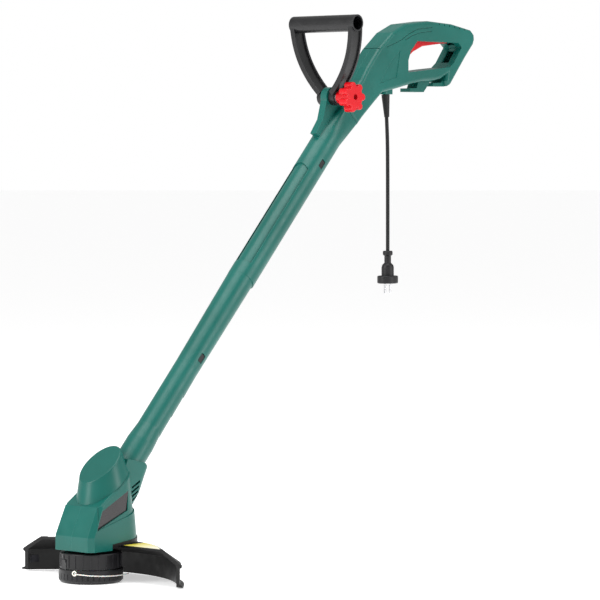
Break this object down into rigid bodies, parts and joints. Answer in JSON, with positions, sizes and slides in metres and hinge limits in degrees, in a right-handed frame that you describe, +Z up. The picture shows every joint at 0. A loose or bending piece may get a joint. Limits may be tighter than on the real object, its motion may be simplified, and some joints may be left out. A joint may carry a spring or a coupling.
{
  "type": "string trimmer",
  "caption": "Corded string trimmer: motor head with line spool and guard, jointed plastic shaft, tilting D-shaped front handle with clamp knob, and rear grip with trigger.",
  "frame": {"origin": "centre of the spool cap's flat underside, on the axis of the motor and spool", "axes": "+Z up along the motor axis, +X towards the operator along the shaft, -Y to the operator's left, where the clamp knob is"},
  "size_m": [0.8882, 0.3198, 0.8088],
  "materials": {
    "housing_green": "satin moulded plastic",
    "panel_black": "matte",
    "guard_black": "fine texture",
    "head_black": "satin",
    "handle_black": "satin moulded plastic",
    "red_plastic": "satin moulded plastic",
    "label_film": "printed film, plain",
    "steel": "ground",
    "black_steel": "blackened",
    "screw_steel": "zinc plated",
    "spring_steel": "drawn",
    "eyelet_metal": "polished",
    "copper": "enamelled winding and bars",
    "brass": "turned",
    "ferrite": "sintered",
    "carbon": "pressed carbon",
    "inner_plastic": "moulded",
    "nylon_line": "extruded nylon",
    "cable_grey": "extruded",
    "capacitor_case": "moulded",
    "cord_rubber": "extruded",
    "plug_black": "moulded",
    "pin_metal": "nickel plated"
  },
  "bodies": {
    "frame": {"head_shell_left": "housing_green", "head_shell_right": "housing_green", "motor_cap": "housing_green", "vent_panel_left": "panel_black", "vent_panel_right": "panel_black", "guard": "guard_black", "guard_label": "label_film", "line_cutter": "black_steel", "guard_screws": "screw_steel", "head_screws": "screw_steel", "motor_can": "steel", "motor_magnets": "ferrite", "motor_end_bell": "inner_plastic", "carbon_brushes": "carbon", "lower_bearing": "steel", "upper_bearing": "steel", "lower_tube": "housing_green", "middle_tube": "housing_green", "handle_shell_left": "housing_green", "handle_shell_right": "housing_green", "handle_screws": "screw_steel", "power_switch": "inner_plastic", "trigger_pin": "steel", "trigger_spring": "spring_steel", "cord_clamp": "inner_plastic", "cord_boot": "cord_rubber", "power_cord": "cord_rubber", "plug_body": "plug_black", "plug_pins": "pin_metal", "inner_cable": "cable_grey", "capacitor": "capacitor_case", "latch_spring_lower": "spring_steel", "latch_spring_upper": "spring_steel"},
    "rotor": {"motor_shaft": "steel", "armature_core": "steel", "armature_windings": "copper", "commutator": "copper", "cooling_fan": "inner_plastic", "spool_carrier": "head_black", "carrier_nut": "screw_steel"},
    "lever": {"feed_lever": "inner_plastic"},
    "cap": {"spool_cap": "head_black", "line_eyelet": "eyelet_metal", "cutting_line": "nylon_line"},
    "spool": {"line_spool": "inner_plastic", "wound_line": "nylon_line"},
    "latch_lower": {"latch_button_lower": "handle_black"},
    "latch_upper": {"latch_button_upper": "handle_black"},
    "trigger": {"trigger": "red_plastic"},
    "plunger": {"switch_plunger": "inner_plastic"},
    "front_grip": {"front_handle": "handle_black", "clamp_bolt": "screw_steel", "handle_washer": "screw_steel"},
    "knob": {"clamp_knob": "red_plastic", "knob_insert": "brass"}
  },
  "joints": [
    {"name": "head_spin", "type": "hinge", "parent": "frame", "child": "rotor", "pos_m": [0, 0, 0.05], "axis": [0, 0, 1], "continuous": true},
    {"name": "cap_release", "type": "slide", "parent": "rotor", "child": "cap", "axis": [0, 0, -1], "range_m": [0, 0.06]},
    {"name": "spool_index", "type": "hinge", "parent": "cap", "child": "spool", "pos_m": [0, 0, 0.014], "axis": [0, 0, 1], "continuous": true},
    {"name": "feed_lever_swing", "type": "hinge", "parent": "rotor", "child": "lever", "pos_m": [0, 0.032, 0.035], "axis": [0, 0, 1], "range_deg": [-4, 4]},
    {"name": "latch_press_lower", "type": "slide", "parent": "frame", "child": "latch_lower", "axis": [0, 1, 0], "range_m": [0, 0.004], "stiffness_N_per_m": 1200, "springref_m": -0.002, "deforming": ["latch_spring_lower"]},
    {"name": "latch_press_upper", "type": "slide", "parent": "frame", "child": "latch_upper", "axis": [0, 1, 0], "range_m": [0, 0.004], "stiffness_N_per_m": 1200, "springref_m": -0.002, "deforming": ["latch_spring_upper"]},
    {"name": "trigger_pull", "type": "hinge", "parent": "frame", "child": "trigger", "pos_m": [0.797, 0, 0.784], "axis": [0, 1, 0], "range_deg": [0, 4], "stiffness_Nm_per_rad": 6, "springref_deg": -3.44, "deforming": ["trigger_spring"]},
    {"name": "switch_press", "type": "slide", "parent": "frame", "child": "plunger", "axis": [0, 0, 1], "range_m": [0, 0.0022]},
    {"name": "front_handle_tilt", "type": "hinge", "parent": "frame", "child": "front_grip", "pos_m": [0.512, 0, 0.6855], "axis": [0, 1, 0], "range_deg": [-50, 35]},
    {"name": "knob_turn", "type": "hinge", "parent": "front_grip", "child": "knob", "pos_m": [0.512, -0.035, 0.6855], "axis": [0, -1, 0], "continuous": true}
  ],
  "couplings": [
    {"joint": "switch_press", "follows": "trigger_pull", "m_per_rad": 0.03}
  ]
}
